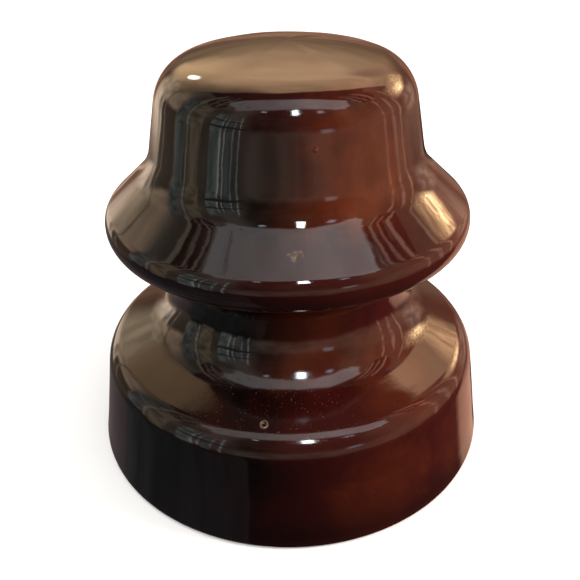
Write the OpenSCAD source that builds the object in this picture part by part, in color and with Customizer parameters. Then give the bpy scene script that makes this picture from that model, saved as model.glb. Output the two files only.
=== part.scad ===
// Pin-type insulator. One glazed porcelain body carries the line wire in the
// groove around its neck. A threaded zinc thimble is cemented into the pin hole
// underneath, and a wooden or steel pin screws into it.
// Sizes are millimetres. +Z points up. The origin is the centre of the foot
// ring, in the plane that the insulator stands on.

/* [Skirt] */
// Diameter of the skirt at the foot
base_d = 140; // [115:1:170]
// How far the skirt's side leans in, on the radius, from the foot to the shoulder
side_taper = 6; // [2:0.5:10]
// Height of the shoulder's edge above the foot
side_h = 36.5; // [30:0.5:46]
// Rounding of the shoulder's edge
shoulder_edge_round = 10; // [2:0.5:12]
// Height from the shoulder's edge up to the neck
shoulder_rise = 11.5; // [8:0.5:16]

/* [Neck] */
// Diameter at the foot of the neck
neck_low_d = 79; // [66:0.5:95]
// Diameter at the top of the neck, under the flange
neck_high_d = 76.6; // [66:0.2:92]
// Height of the neck
neck_h = 18; // [15:0.5:26]
// Rounding between the shoulder and the neck
neck_low_round = 19; // [5:0.5:20]
// Rounding between the neck and the flange
neck_high_round = 7; // [4:0.5:9]

/* [Flange] */
// Diameter where the flange's two slopes would meet, before its rim is rounded
flange_d = 126; // [106:1:150]
// Height from the neck up to the flange's rim
flange_under_rise = 16.5; // [12:0.5:22]
// Height from the flange's rim up to the crown
flange_top_rise = 18; // [14:0.5:24]
// Rounding of the flange's rim
flange_round = 7; // [4:0.5:9]

/* [Crown] */
// Diameter at the foot of the crown
crown_low_d = 87; // [76:0.5:104]
// Diameter at the top of the crown, before its edge is rounded
crown_high_d = 76; // [64:0.5:90]
// Height of the crown's side
crown_h = 29; // [22:0.5:40]
// Rounding between the flange and the crown
crown_low_round = 17; // [6:0.5:18]
// Rounding of the crown's upper edge
crown_edge_round = 15; // [8:0.5:18]
// Height of the domed top above the crown's edge
dome_rise = 6.5; // [3:0.5:9]

/* [Underside] */
// Width of the flat foot ring, before its edges are rounded
foot_w = 9.5; // [7.5:0.5:12]
// Rounding of the foot ring's outer edge
foot_outer_round = 1.5; // [0.5:0.5:2.5]
// Rounding of the foot ring's inner edge
foot_inner_round = 3; // [1:0.5:3.5]
// Thickness of the skirt at the top of the hollow
skirt_wall = 11; // [8:0.5:14]
// Height of the hollow under the skirt
hollow_h = 31; // [25:0.5:34]
// Rounding of the hollow's upper corners
hollow_round = 7; // [3:0.5:9]
// Thickness of the petticoat's lip
petticoat_wall = 9; // [7:0.5:12]
// How much thicker the petticoat is at the top of the hollow
petticoat_taper = 3; // [1:0.5:5]
// Height of the petticoat's lip above the foot
lip_z = 9; // [6:0.5:12]
// Rounding of the petticoat's lip
lip_round = 2.5; // [1:0.5:3]

/* [Pin hole] */
// Depth of the pin hole above the petticoat's lip
hole_depth = 83; // [66:1:100]
// Rounding at the end of the pin hole
hole_end_round = 4; // [1:0.5:4]
// Thickness of the sand band fused to the pin hole
sand_t = 0.8; // [0.5:0.1:1.5]
// How far the sand band stops short of the end of the pin hole
sand_gap = 7; // [5:0.5:12]
// Thickness of the cement around the thimble
cement_t = 3.8; // [3.2:0.1:6]
// How far the cement's face is set in from the petticoat's lip
cement_recess = 4.5; // [3.8:0.1:7]
// Thickness of the bitumen ring on the cement's face
seal_t = 1.2; // [0.6:0.1:1.6]
// Thickness of the cushion disc above the thimble
cushion_t = 3.5; // [2:0.5:6]

/* [Thimble] */
// Nominal outside diameter of the pin's thread
pin_d = 34.9; // [28:0.1:42]
// Pitch of the pin's thread
thread_pitch = 6.35; // [5:0.05:8]
// Depth of the pin's thread
thread_depth = 1.7; // [1.2:0.1:2.1]
// Gap between the pin's thread and the bottom of the thimble's thread
thread_clear = 0.25; // [0.15:0.05:0.5]
// Width of the flat crest between two thread grooves
crest_w = 2; // [1.4:0.1:2.5]
// Wall of the thimble outside its thread
thimble_wall = 2.6; // [2:0.1:4]
// Thickness of the thimble's closed end
thimble_end = 3; // [2:0.5:5]
// How far the thimble's mouth is set in from the petticoat's lip
thimble_recess = 2; // [1:0.1:2.8]
// Depth of the keying grooves around the thimble
key_depth = 0.8; // [0.4:0.1:1.2]
// Number of keying grooves
key_count = 6; // [3:1:9]

/* [Hidden] */

$fn = 128;
arc_step = 6;       // degrees turned by one segment of a rounding
dome_steps = 10;    // segments of the domed top

base_r = base_d / 2;
side_top_r = base_r - side_taper;
neck_z = side_h + shoulder_rise;
neck_top_z = neck_z + neck_h;
rim_z = neck_top_z + flange_under_rise;
crown_z = rim_z + flange_top_rise;
crown_edge_z = crown_z + crown_h;
top_z = crown_edge_z + dome_rise;

root_r = pin_d / 2 + thread_clear;
crest_r = pin_d / 2 - thread_depth;
thimble_r = root_r + thimble_wall;
sand_r = thimble_r + cement_t;
hole_r = sand_r + sand_t;

hole_end_z = lip_z + hole_depth;
cement_z = lip_z + cement_recess;
mouth_z = lip_z + thimble_recess;
cushion_z = hole_end_z - cushion_t;
bore_end_z = cushion_z - thimble_end;

foot_in_r = base_r - foot_w;
hollow_out_r = base_r - side_taper * hollow_h / side_h - skirt_wall;
lip_r = hole_r + petticoat_wall;
petticoat_r = lip_r + petticoat_taper;
// the hollow's corners never take more than half of its width
hollow_fillet = min(hollow_round, 0.45 * (hollow_out_r - petticoat_r));

groove_w = thread_pitch - crest_w;
groove_count = floor((bore_end_z - mouth_z - crest_w) / thread_pitch);
key_step = (cushion_z - cement_z) / (key_count + 1);

function unit(v) = v / norm(v);
function angle_of(v) = atan2(v.y, v.x);

// points along an arc, from angle a to angle b
function arc(centre, r, a, b, n) =
    [for (i = [0:n]) centre + r * [cos(a + (b - a) * i / n), sin(a + (b - a) * i / n)]];

// the corner at p between its neighbours a and b, rounded to radius r
function rounded(a, p, b, r) =
    let (
        u = unit(a - p),
        w = unit(b - p),
        half = acos(u * w) / 2,
        centre = p + unit(u + w) * r / sin(half),
        from = p + u * r / tan(half) - centre,
        to = p + w * r / tan(half) - centre,
        turn = atan2(from.x * to.y - from.y * to.x, from * to)
    )
    arc(centre, r, angle_of(from), angle_of(from) + turn, ceil(abs(turn) / arc_step));

// every corner of an outline rounded; a corner is [radius from the axis, height, rounding]
function rounded_path(corners) = [
    for (i = [1:len(corners) - 2])
        let (
            a = [corners[i - 1].x, corners[i - 1].y],
            p = [corners[i].x, corners[i].y],
            b = [corners[i + 1].x, corners[i + 1].y]
        )
        each rounded(a, p, b, corners[i].z)
];

// The domed top is an arc through the crown's corner and the apex. The crown's
// edge is rounded by an arc that touches the crown's side and the dome.
crown_foot = [crown_low_d / 2, crown_z];
crown_corner = [crown_high_d / 2, crown_edge_z];
dome_r = (crown_corner.x * crown_corner.x + dome_rise * dome_rise) / (2 * dome_rise);
dome_centre = [0, top_z - dome_r];
crown_dir = unit(crown_corner - crown_foot);
crown_inward = [-crown_dir.y, crown_dir.x];
edge_start = crown_foot + crown_inward * crown_edge_round - dome_centre;
edge_along = edge_start * crown_dir;
edge_reach = dome_r - crown_edge_round;
edge_centre = dome_centre + edge_start + crown_dir
    * (-edge_along + sqrt(edge_along * edge_along - edge_start * edge_start + edge_reach * edge_reach));
edge_from = angle_of(-crown_inward);
edge_to = angle_of(edge_centre - dome_centre);

function outside_path() = concat(
    rounded_path([
        [foot_in_r, 0, 0],
        [base_r, 0, foot_outer_round],
        [side_top_r, side_h, shoulder_edge_round],
        [neck_low_d / 2, neck_z, neck_low_round],
        [neck_high_d / 2, neck_top_z, neck_high_round],
        [flange_d / 2, rim_z, flange_round],
        [crown_foot.x, crown_foot.y, crown_low_round],
        [crown_corner.x, crown_corner.y, 0]
    ]),
    arc(edge_centre, crown_edge_round, edge_from, edge_to,
        ceil((edge_to - edge_from) / arc_step)),
    [for (i = [1:dome_steps])
        let (a = edge_to + (90 - edge_to) * i / dome_steps)
        dome_centre + dome_r * [cos(a), sin(a)]]
);

function underside_path() = concat(
    [[0, hole_end_z]],
    rounded_path([
        [0, hole_end_z, 0],
        [hole_r, hole_end_z, hole_end_round],
        [hole_r, lip_z, lip_round],
        [lip_r, lip_z, lip_round],
        [petticoat_r, hollow_h, hollow_fillet],
        [hollow_out_r, hollow_h, hollow_fillet],
        [foot_in_r, 0, foot_inner_round],
        [base_r, 0, 0]
    ])
);

// the space in the pin hole above height z
module pin_hole_space(z) {
    rotate_extrude()
        polygon(concat(
            [[0, z], [hole_r, z]],
            rounded([hole_r, z], [hole_r, hole_end_z], [0, hole_end_z], hole_end_round),
            [[0, hole_end_z]]
        ));
}

// a plain sleeve of outer radius r_out and inner radius r_in
module sleeve(r_out, r_in, z_low, z_high) {
    rotate_extrude()
        translate([r_in, z_low])
            square([r_out - r_in, z_high - z_low]);
}

// the thimble's outside: a closed cup with keying grooves
module thimble_outside() {
    difference() {
        translate([0, 0, mouth_z])
            cylinder(r = thimble_r, h = cushion_z - mouth_z);
        for (i = [1:key_count])
            rotate_extrude()
                translate([thimble_r, cement_z + i * key_step])
                    rotate(45)
                        square(key_depth * sqrt(2), center = true);
    }
}

// one groove of the thread, between two crests
module thread_groove(z) {
    rotate_extrude()
        polygon([
            [crest_r - 1, z - groove_w / 2],
            [crest_r, z - groove_w / 2],
            [root_r, z - groove_w / 4],
            [root_r, z + groove_w / 4],
            [crest_r, z + groove_w / 2],
            [crest_r - 1, z + groove_w / 2]
        ]);
}

module porcelain_body() {
    color([0.30, 0.12, 0.08])
        rotate_extrude()
            polygon(concat(underside_path(), outside_path()));
}

module sand_band() {
    color([0.62, 0.55, 0.45])
        sleeve(hole_r, sand_r, cement_z, hole_end_z - sand_gap);
}

module thimble_cement() {
    color([0.62, 0.62, 0.60])
        difference() {
            pin_hole_space(cement_z);
            sand_band();
            thimble_outside();
            cushion_disc();
        }
}

module bitumen_seal() {
    color([0.05, 0.05, 0.05])
        sleeve(hole_r, thimble_r, cement_z - seal_t, cement_z);
}

module cushion_disc() {
    color([0.45, 0.32, 0.20])
        translate([0, 0, cushion_z])
            cylinder(r = thimble_r, h = cushion_t);
}

module zinc_thimble() {
    color([0.60, 0.62, 0.64])
        difference() {
            thimble_outside();
            translate([0, 0, mouth_z - 1])
                cylinder(r = crest_r, h = bore_end_z - mouth_z + 1);
            for (i = [0:groove_count - 1])
                thread_groove(mouth_z + crest_w + groove_w / 2 + i * thread_pitch);
        }
}

porcelain_body();
sand_band();
thimble_cement();
bitumen_seal();
cushion_disc();
zinc_thimble();
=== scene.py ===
"""The looks of a mahogany-glazed porcelain pin insulator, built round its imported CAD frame.

Sizes that come from the design are in millimetres, as there, and MM turns them into metres.
An outline is a list of (radius, height) points that turns round the Z axis.
"""

import math

import bpy
import numpy as np
from mathutils import Matrix, Vector, noise


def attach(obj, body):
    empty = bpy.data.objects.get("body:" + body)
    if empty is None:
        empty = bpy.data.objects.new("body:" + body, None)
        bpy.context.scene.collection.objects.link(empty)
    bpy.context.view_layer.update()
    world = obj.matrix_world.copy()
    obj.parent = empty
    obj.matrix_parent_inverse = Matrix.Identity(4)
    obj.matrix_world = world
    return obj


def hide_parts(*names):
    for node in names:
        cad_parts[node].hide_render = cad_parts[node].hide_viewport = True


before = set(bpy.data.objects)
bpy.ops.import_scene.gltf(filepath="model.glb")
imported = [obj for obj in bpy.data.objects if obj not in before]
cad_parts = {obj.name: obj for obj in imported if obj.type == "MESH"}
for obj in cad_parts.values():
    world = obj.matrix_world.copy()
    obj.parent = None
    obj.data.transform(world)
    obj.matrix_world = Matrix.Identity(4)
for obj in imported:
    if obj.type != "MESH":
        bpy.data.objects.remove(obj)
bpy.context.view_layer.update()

MM = 0.001
BODY = "root"

# ---------------------------------------------------------------- design sizes, mm

BASE_R, SIDE_TAPER, SIDE_H, SHOULDER_EDGE_ROUND, SHOULDER_RISE = 70, 6, 36.5, 10, 11.5
NECK_LOW_R, NECK_HIGH_R, NECK_H, NECK_LOW_ROUND, NECK_HIGH_ROUND = 39.5, 38.3, 18, 19, 7
FLANGE_R, FLANGE_UNDER_RISE, FLANGE_TOP_RISE, FLANGE_ROUND = 63, 16.5, 18, 7
CROWN_LOW_R, CROWN_HIGH_R, CROWN_H, CROWN_LOW_ROUND = 43.5, 38, 29, 17
CROWN_EDGE_ROUND, DOME_RISE = 15, 6.5
FOOT_W, FOOT_OUTER_ROUND, FOOT_INNER_ROUND = 9.5, 1.5, 3
SKIRT_WALL, HOLLOW_H, HOLLOW_ROUND = 11, 31, 7
PETTICOAT_WALL, PETTICOAT_TAPER, LIP_Z, LIP_ROUND = 9, 3, 9, 2.5
HOLE_DEPTH, HOLE_END_ROUND, SAND_T, CEMENT_T, CEMENT_RECESS, SEAL_T = 83, 4, 0.8, 3.8, 4.5, 1.2
CUSHION_T, PIN_D, THREAD_PITCH, THREAD_DEPTH, THREAD_CLEAR, CREST_W = 3.5, 34.9, 6.35, 1.7, 0.25, 2
THIMBLE_WALL, THIMBLE_END, THIMBLE_RECESS = 2.6, 3, 2

NECK_Z = SIDE_H + SHOULDER_RISE
NECK_TOP_Z = NECK_Z + NECK_H
RIM_Z = NECK_TOP_Z + FLANGE_UNDER_RISE
CROWN_Z = RIM_Z + FLANGE_TOP_RISE
CROWN_EDGE_Z = CROWN_Z + CROWN_H
TOP_Z = CROWN_EDGE_Z + DOME_RISE
THREAD_ROOT_R = PIN_D / 2 + THREAD_CLEAR
THREAD_CREST_R = PIN_D / 2 - THREAD_DEPTH
THIMBLE_R = THREAD_ROOT_R + THIMBLE_WALL
HOLE_R = THIMBLE_R + CEMENT_T + SAND_T
HOLE_END_Z = LIP_Z + HOLE_DEPTH
CEMENT_Z = LIP_Z + CEMENT_RECESS
MOUTH_Z = LIP_Z + THIMBLE_RECESS
BORE_END_Z = HOLE_END_Z - CUSHION_T - THIMBLE_END
FOOT_IN_R = BASE_R - FOOT_W
HOLLOW_OUT_R = BASE_R - SIDE_TAPER * HOLLOW_H / SIDE_H - SKIRT_WALL
LIP_R = HOLE_R + PETTICOAT_WALL
PETTICOAT_R = LIP_R + PETTICOAT_TAPER


# ---------------------------------------------------------------- outlines

def unit(v):
    return v / np.linalg.norm(v)


def rounded(a, p, b, r, step_deg=2.0):
    """The corner at p between its neighbours a and b, rounded to radius r."""
    a, p, b = (np.array(q[:2], float) for q in (a, p, b))
    u, w = unit(a - p), unit(b - p)
    half = math.acos(float(np.clip(u @ w, -1, 1))) / 2
    centre = p + unit(u + w) * r / math.sin(half)
    start, end = (p + v * r / math.tan(half) - centre for v in (u, w))
    turn = math.atan2(start[0] * end[1] - start[1] * end[0], float(start @ end))
    first = math.atan2(start[1], start[0])
    count = max(2, math.ceil(abs(math.degrees(turn)) / step_deg))
    return [centre + r * np.array([math.cos(first + turn * i / count),
                                   math.sin(first + turn * i / count)])
            for i in range(count + 1)]


def rounded_path(corners):
    """The outline with every corner but the first and last rounded.

    A corner is (radius, height, rounding). The first and last only give a direction, and are left out.
    """
    points = []
    for a, p, b in zip(corners, corners[1:], corners[2:]):
        points += rounded(a, p, b, p[2])
    return points


def crown_top():
    """The crown's rounded edge and its domed top, from the side to the apex."""
    foot = np.array([CROWN_LOW_R, CROWN_Z], float)
    corner = np.array([CROWN_HIGH_R, CROWN_EDGE_Z], float)
    dome_r = (corner[0] ** 2 + DOME_RISE ** 2) / (2 * DOME_RISE)
    dome_centre = np.array([0, TOP_Z - dome_r])
    along = unit(corner - foot)
    inward = np.array([-along[1], along[0]])
    start = foot + inward * CROWN_EDGE_ROUND - dome_centre
    part = float(start @ along)
    reach = dome_r - CROWN_EDGE_ROUND
    centre = dome_centre + start + along * (
        -part + math.sqrt(part ** 2 - float(start @ start) + reach ** 2))
    first = math.atan2(-inward[1], -inward[0])
    last = math.atan2(*(centre - dome_centre)[::-1])
    edge = [centre + CROWN_EDGE_ROUND * np.array([math.cos(a), math.sin(a)])
            for a in np.linspace(first, last, 34)]
    dome = [dome_centre + dome_r * np.array([math.cos(a), math.sin(a)])
            for a in np.linspace(last, math.pi / 2, 26)[1:]]
    return edge + dome


def outside():
    """From the foot ring up over the crown to the apex."""
    return rounded_path([
        (FOOT_IN_R, 0, 0),
        (BASE_R, 0, FOOT_OUTER_ROUND),
        (BASE_R - SIDE_TAPER, SIDE_H, SHOULDER_EDGE_ROUND),
        (NECK_LOW_R, NECK_Z, NECK_LOW_ROUND),
        (NECK_HIGH_R, NECK_TOP_Z, NECK_HIGH_ROUND),
        (FLANGE_R, RIM_Z, FLANGE_ROUND),
        (CROWN_LOW_R, CROWN_Z, CROWN_LOW_ROUND),
        (CROWN_HIGH_R, CROWN_EDGE_Z, 0),
    ]) + crown_top()


def underside():
    """From the end of the pin hole down over the petticoat's lip and the hollow to the foot ring."""
    fillet = min(HOLLOW_ROUND, 0.45 * (HOLLOW_OUT_R - PETTICOAT_R))
    return [np.array([0.0, HOLE_END_Z])] + rounded_path([
        (0, HOLE_END_Z, 0),
        (HOLE_R, HOLE_END_Z, HOLE_END_ROUND),
        (HOLE_R, LIP_Z, LIP_ROUND),
        (LIP_R, LIP_Z, LIP_ROUND),
        (PETTICOAT_R, HOLLOW_H, fillet),
        (HOLLOW_OUT_R, HOLLOW_H, fillet),
        (FOOT_IN_R, 0, FOOT_INNER_ROUND),
        (BASE_R, 0, 0),
    ])


def resampled(points, step, marks=()):
    """The outline with points about step apart, and finer round each mark.

    A mark is (distance along the outline, reach, step). Also returns each point's distance.
    """
    points = np.array(points, float)
    run = np.concatenate([[0], np.cumsum(np.linalg.norm(np.diff(points, axis=0), axis=1))])
    stations = list(run)
    for a, b in zip(run[:-1], run[1:]):
        count = int((b - a) / step)
        stations += [a + (b - a) * i / (count + 1) for i in range(1, count + 1)]
    for s, reach, fine in marks:
        stations += list(np.arange(s - reach, s + reach, fine))
    stations = np.array(sorted(stations))
    stations = stations[np.concatenate([[True], np.diff(stations) > 0.02])]
    stations[-1] = run[-1]
    return np.stack([np.interp(stations, run, points[:, k]) for k in (0, 1)], 1), stations


# ---------------------------------------------------------------- meshes

def make_mesh(name, verts, faces, smooth=True):
    """A mesh object in the scene, from points in metres."""
    mesh = bpy.data.meshes.new(name)
    mesh.from_pydata([tuple(v) for v in verts], [], faces)
    mesh.update()
    if smooth:
        mesh.polygons.foreach_set("use_smooth", [True] * len(mesh.polygons))
    piece = bpy.data.objects.new(name, mesh)
    bpy.context.scene.collection.objects.link(piece)
    return piece


def turned(radius, angle, height):
    """A point on a turned surface, from millimetres and radians to metres."""
    return (radius * math.cos(angle) * MM, radius * math.sin(angle) * MM, height * MM)


def lathe_faces(rows, columns, first_pole, last_pole):
    """Faces of a turned grid. Poles are the indices of the vertices on the axis, or None."""
    faces = []
    for i in range(rows - 1):
        for j in range(columns):
            k = (j + 1) % columns
            faces.append((i * columns + j, i * columns + k,
                          (i + 1) * columns + k, (i + 1) * columns + j))
    for j in range(columns):
        k = (j + 1) % columns
        if first_pole is not None:
            faces.append((first_pole, k, j))
        if last_pole is not None:
            top = (rows - 1) * columns
            faces.append((last_pole, top + j, top + k))
    return faces


class Mark:
    """A small fault in the glaze: where it is, how wide and what shape it has."""

    def __init__(self, azimuth, height, width, depth, kind):
        self.azimuth, self.height = azimuth, height
        self.width, self.depth, self.kind = width, depth, kind


# Azimuth is measured round from -Y towards +X, in degrees. Sizes are millimetres.
MARKS = [
    Mark(-8, 39.6, 2.5, 0.20, "burst bubble"),
    Mark(-5.5, 40.2, 1.1, 0.12, "pimple"),
    Mark(2.5, 92.8, 6.8, 0.06, "chip"),
    Mark(10.5, 117.0, 1.2, 0.16, "pimple"),
    Mark(52, 40.3, 1.3, 0.16, "pimple"),
    Mark(49, 41.4, 0.9, 0.12, "pimple"),
    Mark(205, 41.0, 2.4, 0.25, "burst bubble"),
    Mark(160, 112.0, 1.3, 0.15, "pimple"),
    Mark(250, 20.0, 1.4, 0.15, "pimple"),
]


def ragged(mark, u, v):
    """How much of the glaze is gone in a chip, 0 to 1: splinters side by side, not a round hole."""
    x = math.hypot(u, 1.7 * v) / (mark.width / 2)
    splinters = noise.noise(Vector((1.3 * u, 1.0 * v, 0.7)))
    return max(0.0, min(1.0, 2.0 * (0.50 - x + 1.2 * splinters)))


def mark_height(mark, u, v):
    """How far the glaze stands out at u across and v along the outline from a mark's centre."""
    x = math.hypot(u, v) / (mark.width / 2)
    if mark.kind == "pimple":
        return mark.depth * math.exp(-(x * 1.3) ** 2)
    if mark.kind == "chip":
        return -mark.depth * ragged(mark, u, v)
    rim = math.exp(-((x - 0.80) / 0.18) ** 2)
    return mark.depth * (0.9 * rim - math.exp(-(x / 0.55) ** 4))


def mark_colour(mark, u, v):
    """How far a mark bares the pale clay, from 0 to 1."""
    x = math.hypot(u, v) / (mark.width / 2)
    if mark.kind == "burst bubble":
        return 0.8 * math.exp(-((x - 0.80) / 0.18) ** 2)
    if mark.kind == "chip":
        return 0.75 * ragged(mark, u, v)
    return 0.25 * math.exp(-(x * 1.2) ** 2)


def turning_waves(azimuth, z):
    """The faint unevenness that turning, drying and a runny glaze leave, in millimetres."""
    p = Vector((math.cos(azimuth), math.sin(azimuth), z / 38))
    slow = noise.noise(p * 1.7 + Vector((3.1, 0, 0)))
    drift = noise.noise(Vector((math.cos(azimuth) * 3.2, math.sin(azimuth) * 3.2, z / 11)))
    rings = 0.5 * math.sin(z * 1.9 + 2.0 * slow) * (0.4 + 0.6 * abs(slow))
    return 0.13 * slow + 0.065 * drift + 0.006 * rings


OUTLINE_STEP, COLUMNS = 1.6, 240       # mm along the outline, and columns round the axis
MARK_STEPS, MARK_REACH = 12, 0.75      # how finely and how widely a mark's width is divided


def porcelain_shell():
    """The whole fired body as one closed mesh, with its glaze faults as real relief.

    The attribute edge says how sharply the outline bends outward, where glaze runs thin. The
    attribute scar says how far the clay is bared.
    """
    under = underside()
    points = under + outside()
    raw = np.array(points, float)
    run = np.concatenate([[0], np.cumsum(np.linalg.norm(np.diff(raw, axis=0), axis=1))])
    outer_from = run[len(under)]
    fine = []
    for m in MARKS:
        s = next(run[i] for i in range(len(raw)) if run[i] > outer_from and raw[i][1] >= m.height)
        i = int(np.searchsorted(run, s))
        share = (m.height - raw[i - 1][1]) / max(raw[i][1] - raw[i - 1][1], 1e-6)
        m.station = run[i - 1] + share * (run[i] - run[i - 1])
        m.radius = raw[i - 1][0] + share * (raw[i][0] - raw[i - 1][0])
        fine.append((m.station, m.width * MARK_REACH, m.width / MARK_STEPS))
    grid, stations = resampled(points, OUTLINE_STEP, fine)
    grid, stations = grid[1:-1], stations[1:-1]  # the two ends lie on the axis
    angles = list(np.linspace(0, 2 * math.pi, COLUMNS, endpoint=False))
    for m in MARKS:
        a = math.radians(m.azimuth - 90) % (2 * math.pi)
        reach, step = MARK_REACH * m.width / m.radius, m.width / MARK_STEPS / m.radius
        angles += [x % (2 * math.pi) for x in np.arange(a - reach, a + reach, step)]
    angles = np.array(sorted(angles))
    angles = angles[np.concatenate([[True], np.diff(angles) > 0.002])]
    slope = np.gradient(grid, stations, axis=0)
    normal = np.stack([slope[:, 1], -slope[:, 0]], 1)
    normal /= np.linalg.norm(normal, axis=1, keepdims=True)
    verts, edge, scar = [], [], []
    bend = np.gradient(np.unwrap(np.arctan2(slope[:, 1], slope[:, 0])), stations)
    kernel = np.exp(-np.linspace(-2, 2, 9) ** 2)
    bend = np.convolve(np.clip(bend, -0.2, 0.2), kernel / kernel.sum(), "same")
    for i, (r, z) in enumerate(grid):
        outside_here = stations[i] > outer_from
        for a in angles:
            out, bare = 0.0, 0.0
            if outside_here and z > 0.5:
                out = turning_waves(a, z) * min(1.0, r / 12, (z - 0.5) / 6)
                for m in MARKS:
                    if abs(stations[i] - m.station) < m.width:
                        turn = (a - math.radians(m.azimuth - 90) + math.pi) % (2 * math.pi) - math.pi
                        u, v = turn * m.radius, stations[i] - m.station
                        if abs(u) < m.width:
                            out += mark_height(m, u, v)
                            bare = max(bare, mark_colour(m, u, v))
            rr, zz = r + out * normal[i, 0], z + out * normal[i, 1]
            verts.append(turned(rr, a, zz))
            edge.append(bend[i])
            scar.append(bare)
    rows, columns = len(grid), len(angles)
    first, last = len(verts), len(verts) + 1
    verts += [(0, 0, HOLE_END_Z * MM), (0, 0, TOP_Z * MM)]
    edge += [0.0, bend[-1]]
    scar += [0.0, 0.0]
    piece = make_mesh("glazed_porcelain", verts, lathe_faces(rows, columns, first, last))
    for name, values in (("edge", edge), ("scar", scar)):
        layer = piece.data.attributes.new(name, "FLOAT", "POINT")
        layer.data.foreach_set("value", np.array(values, np.float32))
    return piece


def threaded_thimble():
    """The zinc thimble with its real right-handed helical thread."""
    columns, rows_per_turn = 120, 16
    lead_in, run_out = MOUTH_Z + 4, BORE_END_Z - 5
    top_bevel, mouth_bevel = 0.6, 0.5
    top = HOLE_END_Z - CUSHION_T
    outer = [(THIMBLE_R - top_bevel, top), (THIMBLE_R, top - top_bevel)]
    outer += [(THIMBLE_R, z) for z in np.linspace(top - 4, MOUTH_Z + 2, 12)]
    outer += [(THIMBLE_R, MOUTH_Z + mouth_bevel), (THIMBLE_R - mouth_bevel, MOUTH_Z)]
    outer += [(THREAD_ROOT_R + 0.7, MOUTH_Z), (THREAD_ROOT_R + 0.1, MOUTH_Z + 0.35)]
    inner = [*np.arange(MOUTH_Z + 0.6, BORE_END_Z - 0.05, THREAD_PITCH / rows_per_turn), BORE_END_Z]
    half = THREAD_PITCH / 2
    flat = CREST_W / 2
    verts = []
    for r, z in outer:
        for j in range(columns):
            a = 2 * math.pi * j / columns
            verts.append(turned(r, a, z))
    for z in inner:
        for j in range(columns):
            a = 2 * math.pi * j / columns
            phase = abs((z - THREAD_PITCH * a / (2 * math.pi)) % THREAD_PITCH - half)
            t = min(1.0, max(0.0, (phase - flat) / (half - flat)))
            groove = 0.5 - 0.5 * math.cos(math.pi * min(1.0, t * 1.35))
            fade = min(1.0, max(0.0, (run_out - z) / 3 + 1))
            r = THREAD_CREST_R + (THREAD_ROOT_R - THREAD_CREST_R) * groove * fade
            opening = max(0.0, 1 - (z - MOUTH_Z) / (lead_in - MOUTH_Z))
            r = max(r, THREAD_CREST_R + (THREAD_ROOT_R - THREAD_CREST_R + 0.1) * opening)
            verts.append(turned(r, a, z))
    count = len(outer) + len(inner)
    first, last = len(verts), len(verts) + 1
    verts += [(0, 0, top * MM), (0, 0, BORE_END_Z * MM)]
    faces = [tuple(reversed(f)) for f in lathe_faces(count, columns, first, last)]
    return make_mesh("threaded_thimble", verts, faces)


def bitumen_ring():
    """The brushed bitumen over the cement's open face: a lumpy flat bead between thimble and hole."""
    columns, across = 160, 9
    low, high = THIMBLE_R, HOLE_R
    verts = []
    for i in range(across + 1):
        u = i / across
        r = low + (high - low) * u
        for j in range(columns):
            a = 2 * math.pi * j / columns
            lump = noise.noise(Vector((math.cos(a) * 5, math.sin(a) * 5, u * 3)))
            fine = noise.noise(Vector((math.cos(a) * 19, math.sin(a) * 19, u * 9)))
            sag = SEAL_T * (0.72 + 0.18 * lump + 0.08 * fine - 0.35 * math.sin(math.pi * u) * 0.5)
            climb = 0.28 * SEAL_T * (math.exp(-u * 9) + math.exp(-(1 - u) * 9))
            z = CEMENT_Z - min(SEAL_T, sag + climb)
            verts.append(turned(r, a, z))
    for r in (high, low):
        for j in range(columns):
            a = 2 * math.pi * j / columns
            verts.append(turned(r, a, CEMENT_Z))
    rows = across + 3
    faces = [tuple(reversed(f)) for f in lathe_faces(rows, columns, None, None)]
    for j in range(columns):
        k = (j + 1) % columns
        faces.append((j, k, (rows - 1) * columns + k, (rows - 1) * columns + j))
    return make_mesh("bitumen_ring", verts, faces)


# ---------------------------------------------------------------- materials

class Tree:
    """A node tree, with short helpers that materials and the world share."""

    def __init__(self, tree):
        self.tree = tree

    def add(self, kind, **settings):
        node = self.tree.nodes.new(kind)
        for key, value in settings.items():
            setattr(node, key, value)
        return node

    def link(self, source, socket):
        self.tree.links.new(source, socket)

    def put(self, value, socket):
        """Links a socket, or sets a plain value."""
        if isinstance(value, bpy.types.NodeSocket):
            self.link(value, socket)
        else:
            socket.default_value = value

    def math(self, operation, a, b=0.0):
        node = self.add("ShaderNodeMath", operation=operation)
        self.put(a, node.inputs[0])
        self.put(b, node.inputs[1])
        return node.outputs[0]

    def band(self, value, low, high, to_low=0.0, to_high=1.0):
        """A smooth step from to_low at low to to_high at high."""
        node = self.add("ShaderNodeMapRange", interpolation_type="SMOOTHSTEP")
        self.put(value, node.inputs["Value"])
        for key, number in (("From Min", low), ("From Max", high),
                            ("To Min", to_low), ("To Max", to_high)):
            node.inputs[key].default_value = number
        return node.outputs["Result"]

    def mix(self, share, a, b):
        node = self.add("ShaderNodeMix", data_type="RGBA")
        self.put(share, node.inputs["Factor"])
        self.put(a, node.inputs["A"])
        self.put(b, node.inputs["B"])
        return node.outputs["Result"]


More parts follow.
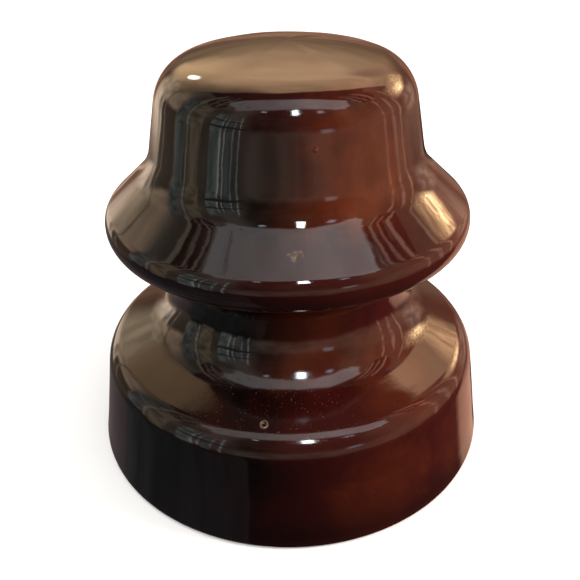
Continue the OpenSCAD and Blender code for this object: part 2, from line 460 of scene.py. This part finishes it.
class Nodes(Tree):
    """A material and its node tree."""

    def __init__(self, name):
        self.material = bpy.data.materials.new(name)
        self.material.use_nodes = True
        super().__init__(self.material.node_tree)
        self.shader = next(n for n in self.tree.nodes if n.type == "BSDF_PRINCIPLED")
        self.position = self.add("ShaderNodeTexCoord").outputs["Object"]

    def noise(self, scale, detail=4.0, rough=0.5, distortion=0.0, at=None):
        node = self.add("ShaderNodeTexNoise")
        self.link(at or self.position, node.inputs["Vector"])
        node.inputs["Scale"].default_value = scale
        node.inputs["Detail"].default_value = detail
        node.inputs["Roughness"].default_value = rough
        node.inputs["Distortion"].default_value = distortion
        return node.outputs["Fac"]

    def cells(self, scale, feature="F1", randomness=1.0):
        node = self.add("ShaderNodeTexVoronoi", feature=feature)
        self.link(self.position, node.inputs["Vector"])
        node.inputs["Scale"].default_value = scale
        node.inputs["Randomness"].default_value = randomness
        return node.outputs["Distance"]

    def dot(self, direction):
        """The position's part along a direction."""
        node = self.add("ShaderNodeVectorMath", operation="DOT_PRODUCT")
        self.link(self.position, node.inputs[0])
        node.inputs[1].default_value = direction
        return node.outputs["Value"]

    def blob(self, azimuth, radius, height, size):
        """1 near a place on the surface (azimuth in degrees, the rest in mm), with a torn edge."""
        node = self.add("ShaderNodeVectorMath", operation="DISTANCE")
        self.link(self.position, node.inputs[0])
        a = math.radians(azimuth)
        node.inputs[1].default_value = (math.sin(a) * radius * MM, -math.cos(a) * radius * MM,
                                        height * MM)
        torn = self.math("MULTIPLY", self.noise(70, 4, 0.6, 0.6), 1.5 * size * MM)
        far = self.math("ADD", node.outputs["Value"], torn)
        return self.band(far, 2.05 * size * MM, 1.25 * size * MM)

    def scaled(self, factors):
        node = self.add("ShaderNodeMapping")
        self.link(self.position, node.inputs["Vector"])
        node.inputs["Scale"].default_value = factors
        return node.outputs["Vector"]

    def bump(self, height, distance, strength=1.0, under=None):
        node = self.add("ShaderNodeBump")
        self.put(height, node.inputs["Height"])
        node.inputs["Distance"].default_value = distance
        node.inputs["Strength"].default_value = strength
        if under is not None:
            self.link(under, node.inputs["Normal"])
        return node.outputs["Normal"]

    def finish(self, colour, roughness, normal=None, **constants):
        self.put(colour, self.shader.inputs["Base Color"])
        self.put(roughness, self.shader.inputs["Roughness"])
        if normal is not None:
            self.link(normal, self.shader.inputs["Normal"])
        for key, value in constants.items():
            self.shader.inputs[key.replace("_", " ")].default_value = value
        return self.material


def rgb(r, g, b):
    return (r, g, b, 1.0)


# Where the flame thinned the glaze to rust: azimuth, radius, height, size in mm, strength.
FLASHES = [
    (30, 41, 112, 20, 0.9),
    (6, 43, 101, 11, 0.5),
    (5, 39, 57, 17, 0.6),
    (62, 62, 96, 15, 0.45),
    (24, 67, 16, 17, 0.55),
    (60, 68, 14, 20, 0.35),
    (40, 52, 43, 16, 0.4),
    (150, 42, 112, 22, 0.8),
    (215, 66, 20, 24, 0.7),
    (265, 60, 84, 18, 0.5),
]


# Where dust lies thickest: azimuth, radius, height, size in mm.
DUSTY = [(-22, 52, 42, 13), (6, 53, 42, 15), (172, 16, 135, 9), (-165, 54, 42, 18)]


def mahogany_glaze():
    """Red-brown glaze: rust where it is thin, near black elsewhere, specked and dusty.
    Its colour also holds painted light and shade: near black on the -X side, deep red towards +X,
    darker towards the foot.
    """
    n = Nodes("mahogany_glaze")
    edge = n.add("ShaderNodeAttribute", attribute_name="edge").outputs["Fac"]
    scar = n.add("ShaderNodeAttribute", attribute_name="scar").outputs["Fac"]
    streaks = n.noise(30, 5, 0.6, 0.8, n.scaled((1, 1, 0.4)))
    mottle = n.band(n.noise(62, 4, 0.6, 0.4), 0.36, 0.62, 0.5, 1.0)
    # Painted light and shade: the glaze is painted near black on the -X side, as shade, and deep red
    # towards +X, where the light falls.
    side = n.math("ADD", n.dot((4.4, -2.6, 0)), n.noise(16, 3, 0.55, 0.9))
    colour = n.mix(n.band(side, 0.46, 0.78), rgb(0.008, 0.0040, 0.0035), rgb(0.060, 0.0080, 0.0070))
    for azimuth, radius, height, size, strength in FLASHES:
        patch = n.math("MULTIPLY", n.blob(azimuth, radius, height, size), strength)
        patch = n.math("MULTIPLY", patch, n.band(streaks, 0.3, 0.62, 0.55, 1))
        patch = n.math("MULTIPLY", patch, mottle)
        colour = n.mix(patch, colour, rgb(0.19, 0.036, 0.010))
    # Painted shade: the glaze is painted darker towards the foot, below about 16 mm, as shade near the
    # ground.
    painted_foot_shade = n.band(n.dot((0, 0, 1)), 0.016, 0.001, 0, 0.6)
    colour = n.mix(painted_foot_shade, colour, rgb(0.012, 0.004, 0.004))
    thin = n.band(n.math("ADD", edge, n.math("MULTIPLY", streaks, 0.05)), 0.05, 0.2, 0, 0.5)
    colour = n.mix(n.math("MULTIPLY", thin, 0.6), colour, rgb(0.11, 0.018, 0.012))
    specks = n.math("MULTIPLY", n.band(n.cells(520), 0.16, 0.06), n.band(n.noise(60, 2), 0.5, 0.64))
    colour = n.mix(n.math("MULTIPLY", specks, 0.7), colour, rgb(0.006, 0.003, 0.002))
    facing = n.add("ShaderNodeSeparateXYZ")
    n.link(n.add("ShaderNodeNewGeometry").outputs["Normal"], facing.inputs[0])
    settled = n.band(facing.outputs["Z"], 0.45, 0.85)
    thick = n.band(n.noise(38, 3, 0.6), 0.5, 0.68, 0, 0.5)
    for azimuth, radius, height, size in DUSTY:
        thick = n.math("MAXIMUM", thick, n.blob(azimuth, radius, height, size))
    dust = n.math("MULTIPLY", n.band(n.cells(1300), 0.30, 0.10), n.band(n.noise(900, 1), 0.5, 0.62))
    dust = n.math("MULTIPLY", n.math("MULTIPLY", dust, thick), settled)
    colour = n.mix(n.math("MULTIPLY", dust, 0.5), colour, rgb(0.26, 0.19, 0.14))
    colour = n.mix(scar, colour, rgb(0.42, 0.31, 0.21))
    roughness = n.band(n.noise(28, 4, 0.6), 0.3, 0.75, 0.035, 0.085)
    roughness = n.math("ADD", roughness, n.math("MULTIPLY", thick, 0.04))
    roughness = n.math("ADD", roughness, n.math("MULTIPLY", dust, 0.25))
    roughness = n.math("MAXIMUM", roughness, n.math("MULTIPLY", scar, 0.55))
    skin = n.bump(n.noise(240, 2, 0.5), 0.00003, 0.5)
    skin = n.bump(n.noise(75, 2, 0.5), 0.00012, 0.5, skin)
    skin = n.bump(dust, 0.00004, 0.3, skin)
    return n.finish(colour, roughness, skin, IOR=1.55)


def bare_porcelain():
    """The unglazed foot ring: off-white fired clay, ground flat and dirty with handling."""
    n = Nodes("bare_porcelain")
    grime = n.noise(90, 6, 0.65)
    colour = n.mix(n.band(grime, 0.35, 0.7), rgb(0.50, 0.43, 0.34), rgb(0.22, 0.15, 0.10))
    pits = n.band(n.cells(900), 0.22, 0.08)
    colour = n.mix(n.math("MULTIPLY", pits, 0.6), colour, rgb(0.08, 0.05, 0.035))
    normal = n.bump(n.noise(1500, 3, 0.6), 0.00006, 0.6)
    normal = n.bump(pits, 0.00012, -0.5, normal)
    return n.finish(colour, n.band(grime, 0.3, 0.7, 0.75, 0.92), normal, IOR=1.5)


def cast_zinc():
    """Dull cast zinc with white bloom in patches and a cleaner sheen between them."""
    n = Nodes("cast_zinc")
    bloom = n.band(n.noise(110, 6, 0.65), 0.42, 0.68)
    colour = n.mix(bloom, rgb(0.33, 0.34, 0.36), rgb(0.55, 0.56, 0.56))
    stain = n.band(n.noise(40, 4, 0.6, 0.8), 0.55, 0.75)
    colour = n.mix(n.math("MULTIPLY", stain, 0.6), colour, rgb(0.16, 0.13, 0.10))
    normal = n.bump(n.noise(700, 4, 0.65), 0.00008, 0.5)
    roughness = n.math("ADD", n.band(bloom, 0, 1, 0.38, 0.7), n.math("MULTIPLY", stain, 0.1))
    return n.finish(colour, roughness, normal, Metallic=0.75)


def bitumen():
    """Brushed black bitumen, half glossy, with grit stuck in it."""
    n = Nodes("bitumen")
    brush = n.noise(160, 5, 0.6)
    grit = n.band(n.cells(1100), 0.2, 0.07)
    colour = n.mix(n.band(brush, 0.4, 0.7), rgb(0.010, 0.009, 0.008), rgb(0.035, 0.030, 0.026))
    colour = n.mix(n.math("MULTIPLY", grit, 0.4), colour, rgb(0.16, 0.14, 0.12))
    normal = n.bump(brush, 0.00015, 0.6)
    return n.finish(colour, n.band(brush, 0.3, 0.7, 0.28, 0.6), normal, IOR=1.6)


def grey_cement():
    """Neat cement, pale grey with trowel clouds and pinholes."""
    n = Nodes("grey_cement")
    clouds = n.noise(120, 6, 0.65)
    holes = n.band(n.cells(800), 0.2, 0.06)
    colour = n.mix(n.band(clouds, 0.3, 0.7), rgb(0.26, 0.25, 0.23), rgb(0.46, 0.45, 0.42))
    colour = n.mix(n.math("MULTIPLY", holes, 0.7), colour, rgb(0.10, 0.09, 0.08))
    normal = n.bump(holes, 0.0002, -0.6, n.bump(n.noise(900, 4, 0.6), 0.00008, 0.6))
    return n.finish(colour, n.band(clouds, 0.3, 0.7, 0.8, 0.95), normal)


def sand_grit():
    """Crushed porcelain grit held in glaze."""
    n = Nodes("sand_grit")
    grains = n.cells(1500)
    tint = n.noise(600, 2)
    colour = n.mix(n.band(tint, 0.35, 0.65), rgb(0.30, 0.22, 0.15), rgb(0.62, 0.54, 0.42))
    colour = n.mix(n.band(grains, 0.25, 0.6), colour, rgb(0.06, 0.03, 0.02))
    normal = n.bump(grains, 0.0003, -0.8)
    return n.finish(colour, n.band(tint, 0.3, 0.7, 0.55, 0.9), normal)


def pressed_cork():
    """Pressed cork: grains of mixed brown with dark gaps."""
    n = Nodes("pressed_cork")
    grains = n.cells(520)
    tint = n.noise(260, 3)
    colour = n.mix(n.band(tint, 0.35, 0.65), rgb(0.30, 0.17, 0.08), rgb(0.52, 0.34, 0.18))
    colour = n.mix(n.band(grains, 0.4, 0.75), colour, rgb(0.10, 0.05, 0.03))
    normal = n.bump(grains, 0.0004, -0.6)
    return n.finish(colour, n.band(tint, 0.3, 0.7, 0.75, 0.9), normal)


def dress(piece, *materials):
    """Gives the piece these materials and no others."""
    piece.data.materials.clear()
    for material in materials:
        piece.data.materials.append(material)


def bare_foot(piece):
    """The ground foot ring gets the second material: the faces that lie in the foot's plane."""
    low, high = (FOOT_IN_R + 1.8) * MM, (BASE_R - 0.8) * MM
    for face in piece.data.polygons:
        r = math.hypot(face.center.x, face.center.y)
        if face.center.z < 0.12 * MM and low < r < high:
            face.material_index = 1


# ---------------------------------------------------------------- studio

def camera():
    """A hand-held close view from the front and above, tilted a little."""
    distance, height = 210.9 * MM, 180.7 * MM
    down, swing, tilt = math.radians(31.67), math.radians(-0.10), math.radians(-0.88)
    data = bpy.data.cameras.new("camera")
    data.sensor_width, data.lens = 36, 43.45
    data.clip_start = 0.01
    eye = bpy.data.objects.new("camera", data)
    turn = (Matrix.Rotation(swing, 4, "Z") @ Matrix.Rotation(math.pi / 2 - down, 4, "X")
            @ Matrix.Rotation(tilt, 4, "Z"))
    eye.matrix_world = Matrix.Translation((0, -distance, height)) @ turn
    bpy.context.scene.collection.objects.link(eye)
    bpy.context.scene.camera = eye


def toward(azimuth, elevation):
    """A direction: azimuth round from -Y towards +X, elevation above the horizon, in degrees."""
    a, e = math.radians(azimuth), math.radians(elevation)
    return Vector((math.sin(a) * math.cos(e), -math.cos(a) * math.cos(e), math.sin(e)))


def area_light(name, azimuth, elevation, distance, size, power, colour):
    """A soft panel that lights but that the glaze doesn't mirror."""
    data = bpy.data.lights.new(name, "AREA")
    data.shape, data.size, data.size_y = "RECTANGLE", size[0], size[1]
    data.energy, data.color = power, colour
    lamp = bpy.data.objects.new(name, data)
    centre = Vector((0, 0, TOP_Z / 2 * MM))
    way = toward(azimuth, elevation)
    lamp.location = centre + way * distance
    lamp.rotation_euler = (-way).to_track_quat("-Z", "Y").to_euler()
    lamp.visible_glossy = False
    bpy.context.scene.collection.objects.link(lamp)


class Room(Tree):
    """What the glaze mirrors: walls, panels and a window round a dim studio, as the world's colour.

    Round is the azimuth from -Y towards +X, behind is the azimuth from +Y towards +X, and up is
    the elevation. All three are in degrees.
    """

    def __init__(self):
        world = bpy.data.worlds.new("studio")
        bpy.context.scene.world = world
        world.use_nodes = True
        super().__init__(world.node_tree)
        self.tree.nodes.clear()
        self.way = self.warped(self.add("ShaderNodeTexCoord").outputs["Generated"], 2.6, 0.085)
        x, y, z = self.split()
        degrees = 180 / math.pi
        front = self.math("MULTIPLY", y, -1.0)
        self.round = self.math("MULTIPLY", self.math("ARCTAN2", x, front), degrees)
        self.behind = self.math("MULTIPLY", self.math("ARCTAN2", x, y), degrees)
        self.up = self.math("MULTIPLY", self.math("ARCSINE", z), degrees)
        self.colour = None

    def warped(self, way, scale, amount):
        """Directions pushed about a little, so that no edge in the room is ruler-straight."""
        drift = self.add("ShaderNodeTexNoise")
        self.link(way, drift.inputs["Vector"])
        drift.inputs["Scale"].default_value = scale
        drift.inputs["Detail"].default_value = 2
        push = self.add("ShaderNodeVectorMath", operation="MULTIPLY_ADD")
        self.link(drift.outputs["Color"], push.inputs[0])
        push.inputs[1].default_value = (amount,) * 3
        self.link(way, push.inputs[2])
        level = self.add("ShaderNodeVectorMath", operation="SUBTRACT")
        self.link(push.outputs[0], level.inputs[0])
        level.inputs[1].default_value = (amount / 2,) * 3
        unit_length = self.add("ShaderNodeVectorMath", operation="NORMALIZE")
        self.link(level.outputs[0], unit_length.inputs[0])
        return unit_length.outputs[0]

    def split(self):
        """The direction's x, y and z."""
        node = self.add("ShaderNodeSeparateXYZ")
        self.link(self.way, node.inputs[0])
        return node.outputs

    def uneven(self, scale, low, high, stretch=(1, 1, 1)):
        """A cloudy factor between low and high."""
        turn = self.add("ShaderNodeMapping")
        self.link(self.way, turn.inputs["Vector"])
        turn.inputs["Scale"].default_value = stretch
        node = self.add("ShaderNodeTexNoise")
        self.link(turn.outputs["Vector"], node.inputs["Vector"])
        node.inputs["Scale"].default_value = scale
        node.inputs["Detail"].default_value = 3
        return self.band(node.outputs["Fac"], 0.3, 0.7, low, high)

    def base(self, colour):
        """The colour of whatever nothing is laid over."""
        node = self.add("ShaderNodeRGB")
        node.outputs[0].default_value = (*colour, 1)
        self.colour = node.outputs[0]

    def lay(self, mask, colour, strength=1.0):
        """Covers the room with a colour where the mask is 1. The strength may be a socket."""
        glow = self.add("ShaderNodeVectorMath", operation="SCALE")
        glow.inputs[0].default_value = colour
        self.put(strength, glow.inputs["Scale"])
        self.colour = self.mix(mask, self.colour, glow.outputs[0])

    def cone(self, azimuth, elevation, radius, softness):
        """1 inside a round patch, with a soft edge."""
        node = self.add("ShaderNodeVectorMath", operation="DOT_PRODUCT")
        self.link(self.way, node.inputs[0])
        node.inputs[1].default_value = tuple(toward(azimuth, elevation))
        return self.band(node.outputs["Value"], math.cos(math.radians(radius + softness)),
                         math.cos(math.radians(max(0, radius - softness))))

    def card(self, across, left, right, low, high, soft=1.0, soft_up=None):
        """1 between two azimuths and two elevations; across is round or behind."""
        soft_up = soft if soft_up is None else soft_up
        sides = self.math("MULTIPLY", self.band(across, left - soft, left + soft),
                          self.band(across, right + soft, right - soft))
        ends = self.math("MULTIPLY", self.band(self.up, low - soft_up, low + soft_up),
                         self.band(self.up, high + soft_up, high - soft_up))
        return self.math("MULTIPLY", sides, ends)

    def ring(self, azimuth, elevation, radius, width, soft):
        """1 between two circles about one middle, or on a full disc if the width is over the radius."""
        return self.math("SUBTRACT", self.cone(azimuth, elevation, radius, soft),
                         self.cone(azimuth, elevation, radius - width, soft))

    def overhead(self, left, right, near, far, soft, soft_near, soft_far):
        """1 inside a rectangle on a level ceiling, in units of its height; near and far are along Y."""
        x, y, z = self.split()
        height = self.math("MAXIMUM", z, 0.02)
        across = self.math("ADD", self.math("DIVIDE", x, height), self.uneven(8, -0.22, 0.22))
        along = self.math("DIVIDE", y, height)
        sides = self.math("MULTIPLY", self.band(across, left - soft, left + soft),
                          self.band(across, right + soft, right - soft))
        ends = self.math("MULTIPLY", self.band(along, near - soft_near, near + soft_near),
                         self.band(along, far + soft_far, far - soft_far))
        return self.math("MULTIPLY", sides, ends)

    def finish(self, seen, fill):
        """seen is what the camera sees behind the object, fill the faint light from all round."""
        path, out = self.add("ShaderNodeLightPath"), self.add("ShaderNodeOutputWorld")
        mirror, plain, dim = (self.add("ShaderNodeBackground") for _ in range(3))
        self.link(self.colour, mirror.inputs["Color"])
        plain.inputs["Color"].default_value = (*seen, 1)
        dim.inputs["Color"].default_value = (*fill, 1)
        first, second = self.add("ShaderNodeMixShader"), self.add("ShaderNodeMixShader")
        self.link(path.outputs["Is Diffuse Ray"], first.inputs[0])
        self.link(mirror.outputs[0], first.inputs[1])
        self.link(dim.outputs[0], first.inputs[2])
        self.link(path.outputs["Is Camera Ray"], second.inputs[0])
        self.link(first.outputs[0], second.inputs[1])
        self.link(plain.outputs[0], second.inputs[2])
        self.link(second.outputs[0], out.inputs["Surface"])
        bpy.context.scene.world.cycles.sampling_method = "NONE"  # keeps the mirror out of the light


# Upright strips of the windows and their frames: azimuth, half width, low, high, colour.
WINDOW_STRIPS = [
    (-131, 2.5, -14, 20, (1.1, 0.88, 0.68)),
    (-121, 0.9, -14, 24, (0.75, 0.58, 0.42)),
    (-98, 5.0, -12, 34, (0.42, 0.46, 0.42)),
    (-89, 0.8, -12, 40, (1.2, 1.2, 1.05)),
    (-80, 6.5, -14, 36, (0.72, 0.56, 0.38)),
    (-60, 5.5, -12, 33, (0.72, 0.82, 0.76)),
    (-55, 0.6, -8, 30, (1.8, 2.1, 2.1)),
    (-51, 0.4, -8, 30, (1.6, 2.0, 2.1)),
    (-46, 3.0, -12, 33, (0.38, 0.43, 0.43)),
    (-43.5, 0.4, -6, 28, (1.4, 1.8, 1.9)),
    (-38, 0.5, -12, 33, (1.9, 2.4, 2.5)),
    (88, 1.2, -14, 34, (1.9, 1.1, 0.8)),
    (99, 1.6, -14, 30, (1.6, 1.0, 0.7)),
    (109, 0.8, -14, 38, (1.9, 1.1, 0.7)),
]


# Thin upright lines above the windows, in the same form.
HIGH_STRIPS = [
    (-76, 0.8, 40, 64, (0.9, 0.75, 0.62)),
    (-83, 0.7, 38, 60, (0.8, 0.62, 0.48)),
    (-91, 1.4, 34, 58, (0.9, 0.72, 0.55)),
    (80, 0.9, 40, 60, (2.0, 1.3, 1.0)),
    (86, 0.8, 38, 58, (1.8, 1.1, 0.8)),
    (93, 1.3, 34, 56, (2.2, 1.35, 0.95)),
]


# Round things on the walls: azimuth, elevation, radius, width of the ring and colour.
CURLS = [
    (-80, 46, 8.5, 10.0, (0.20, 0.10, 0.085)),
    (-79, 50, 5.5, 1.1, (0.55, 0.42, 0.35)),
    (90, 44, 9.0, 11.0, (0.20, 0.075, 0.055)),
    (86, 47, 6.0, 1.2, (0.50, 0.31, 0.25)),
]


def room():
    """Lays the room from its plain walls to its lamps. What comes later covers what is there."""
    r = Room()
    r.base((0.03, 0.028, 0.03))
    # below the horizon on the left
    r.lay(r.card(r.round, -112, -24, -70, -15, 1, 3), (0.088, 0.093, 0.10), r.uneven(5, 0.7, 1.2))
    r.lay(r.card(r.round, -200, -112, -70, -15, 4, 3), (0.16, 0.12, 0.12))
    # walls: all round, ahead, right, left, and paler parts of the left and right
    r.lay(r.card(r.round, -200, 200, -10, 95, 1, 5), (0.46, 0.36, 0.29), r.uneven(3, 0.6, 1.3))
    r.lay(r.card(r.round, -34, 62, 9, 52, 8, 6), (0.17, 0.12, 0.10), r.uneven(4, 0.6, 1.3))
    r.lay(r.card(r.round, 50, 200, -12, 45, 14, 6), (0.72, 0.44, 0.28), r.uneven(3, 0.7, 1.2))
    r.lay(r.card(r.round, -200, -104, -12, 34, 3, 8), (1.35, 0.95, 0.65), r.uneven(4, 0.7, 1.2))
    r.lay(r.card(r.round, -168, -125, -12, 18, 3), (2.4, 1.8, 1.35), r.uneven(4, 0.75, 1.2))
    r.lay(r.card(r.round, 118, 160, -6, 14, 5), (1.25, 0.80, 0.55), r.uneven(9, 0.6, 1.2))
    r.lay(r.card(r.round, 118, 150, -48, -16, 4), (0.95, 0.52, 0.36))
    # windows, with a dark frame on the left and two bars across
    texture = r.uneven(7, 0.55, 1.35)
    r.lay(r.card(r.round, -127, -104, -16, 8, 1.5, 4), (0.26, 0.19, 0.14))
    for azimuth, half, low, high, colour in WINDOW_STRIPS:
        r.lay(r.card(r.round, azimuth - half, azimuth + half, low, high, 0.5, 3), colour, texture)
    for low, high in ((9, 13), (22, 24)):
        r.lay(r.card(r.round, -66, -33, low, high, 1, 0.4), (0.16, 0.17, 0.17))
    # dark ceiling, low wall behind, and the pale panel overhead
    r.lay(r.card(r.round, -200, 200, 50, 95, 1, 2), (0.13, 0.075, 0.06))
    r.lay(r.card(r.behind, -34, 40, -12, 13, 6, 4), (0.42, 0.22, 0.14), r.uneven(5, 0.6, 1.4))
    r.lay(r.overhead(-0.74, 0.86, -0.65, -0.21, 0.06, 0.06, 0.02), (2.05, 1.95, 1.92),
          r.math("MULTIPLY", r.band(r.round, -70, 60, 0.55, 1.15), r.uneven(3, 0.8, 1.12)))
    for azimuth, elevation, radius, width, colour in CURLS:
        r.lay(r.ring(azimuth, elevation, radius, width, 0.7), colour, r.uneven(9, 0.3, 1.5))
    for azimuth, half, low, high, colour in HIGH_STRIPS:
        r.lay(r.card(r.round, azimuth - half, azimuth + half, low, high, 0.4, 2), colour)
    # the warm wall behind, which grows paler upwards, with its bright spots
    wall = r.math("MULTIPLY", r.cone(-177, 36, 50, 1.2), r.band(r.up, 4, 15))
    r.lay(wall, (1.0, 0.63, 0.36),
          r.math("MULTIPLY", r.uneven(2.2, 0.85, 1.15, (1, 1, 3)),
                 r.math("MULTIPLY", r.band(r.up, 8, 52, 0.25, 3.6),
                        r.band(r.behind, -75, -25, 0.35, 1.0))))
    r.lay(r.math("MULTIPLY", r.cone(152, 34, 7, 7), wall), (1.5, 0.95, 0.55))
    r.lay(r.card(r.round, -145, -124, 7, 27, 5, 4), (1.75, 1.28, 0.86), r.uneven(12, 0.75, 1.2))
    r.lay(r.cone(-154, 30, 9, 9), (2.9, 1.85, 0.98))
    r.lay(r.cone(-145, 34, 3.2, 1.4), (15, 14, 12))
    # gold light on the right, the lamp in front, and small lights
    r.lay(r.card(r.round, 113, 141, 16, 30, 6, 4), (4.6, 2.8, 1.45), r.uneven(26, 0.5, 1.25))
    r.lay(r.card(r.round, 119, 131, 16, 23.5, 5.0, 3.5), (15, 9.6, 4.9), r.uneven(34, 0.3, 1.3))
    r.lay(r.card(r.round, 7, 14.5, 44, 54.5, 0.8), (34, 38, 40))
    r.lay(r.card(r.round, 30, 38, 6, 12, 2), (1.5, 1.6, 1.8))
    r.lay(r.card(r.round, -27, -22, 49, 52, 1.2), (3.4, 4.0, 4.3))
    r.lay(r.card(r.round, 34, 40, 42, 46, 1.6), (3.2, 3.4, 4.0))
    r.finish(seen=(0.97, 0.97, 0.965), fill=(0.12, 0.112, 0.105))


def floor():
    """A plain pale floor, which the glaze doesn't mirror."""
    reach = 30.0
    verts = [(-reach, -reach, 0), (reach, -reach, 0), (reach, reach, 0), (-reach, reach, 0)]
    ground = make_mesh("floor", verts, [(0, 1, 2, 3)], smooth=False)
    n = Nodes("pale_floor")
    shade = n.noise(2.0, 3)
    dress(ground, n.finish(n.mix(shade, rgb(0.86, 0.86, 0.855), rgb(0.90, 0.90, 0.895)), 0.9))
    ground.visible_glossy = False
    ground.visible_diffuse = False
    return ground


def floor_light(ground):
    """A very broad sun that lights the floor alone, evenly, with a soft shadow under the object."""
    data = bpy.data.lights.new("floor_light", "SUN")
    data.energy, data.angle, data.color = 4.1, 1.9, (1.0, 0.99, 0.98)
    lamp = bpy.data.objects.new("floor_light", data)
    lamp.rotation_euler = (-toward(-20, 78)).to_track_quat("-Z", "Y").to_euler()
    lamp.visible_glossy = False
    bpy.context.scene.collection.objects.link(lamp)
    only = bpy.data.collections.new("floor_only")
    only.objects.link(ground)
    lamp.light_linking.receiver_collection = only


def studio():
    """The mirrored room, the floor with its own light, and one warm panel on the right."""
    room()
    floor_light(floor())
    area_light("warm_side", azimuth=84, elevation=24, distance=0.9, size=(0.35, 0.35),
               power=9, colour=(1.0, 0.84, 0.70))
    bpy.context.scene.view_settings.view_transform = "Standard"


# ---------------------------------------------------------------- assembly

def place(piece, node):
    """The piece rides on the one body and stands for a CAD node."""
    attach(piece, BODY)
    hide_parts(node)


camera()
studio()

body = porcelain_shell()
dress(body, mahogany_glaze(), bare_porcelain())
bare_foot(body)
place(body, "porcelain_body")

thimble = threaded_thimble()
dress(thimble, cast_zinc())
place(thimble, "zinc_thimble")

seal = bitumen_ring()
dress(seal, bitumen())
place(seal, "bitumen_seal")

for node, material in (("sand_band", sand_grit()), ("thimble_cement", grey_cement()),
                       ("cushion_disc", pressed_cork())):
    dress(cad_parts[node], material)
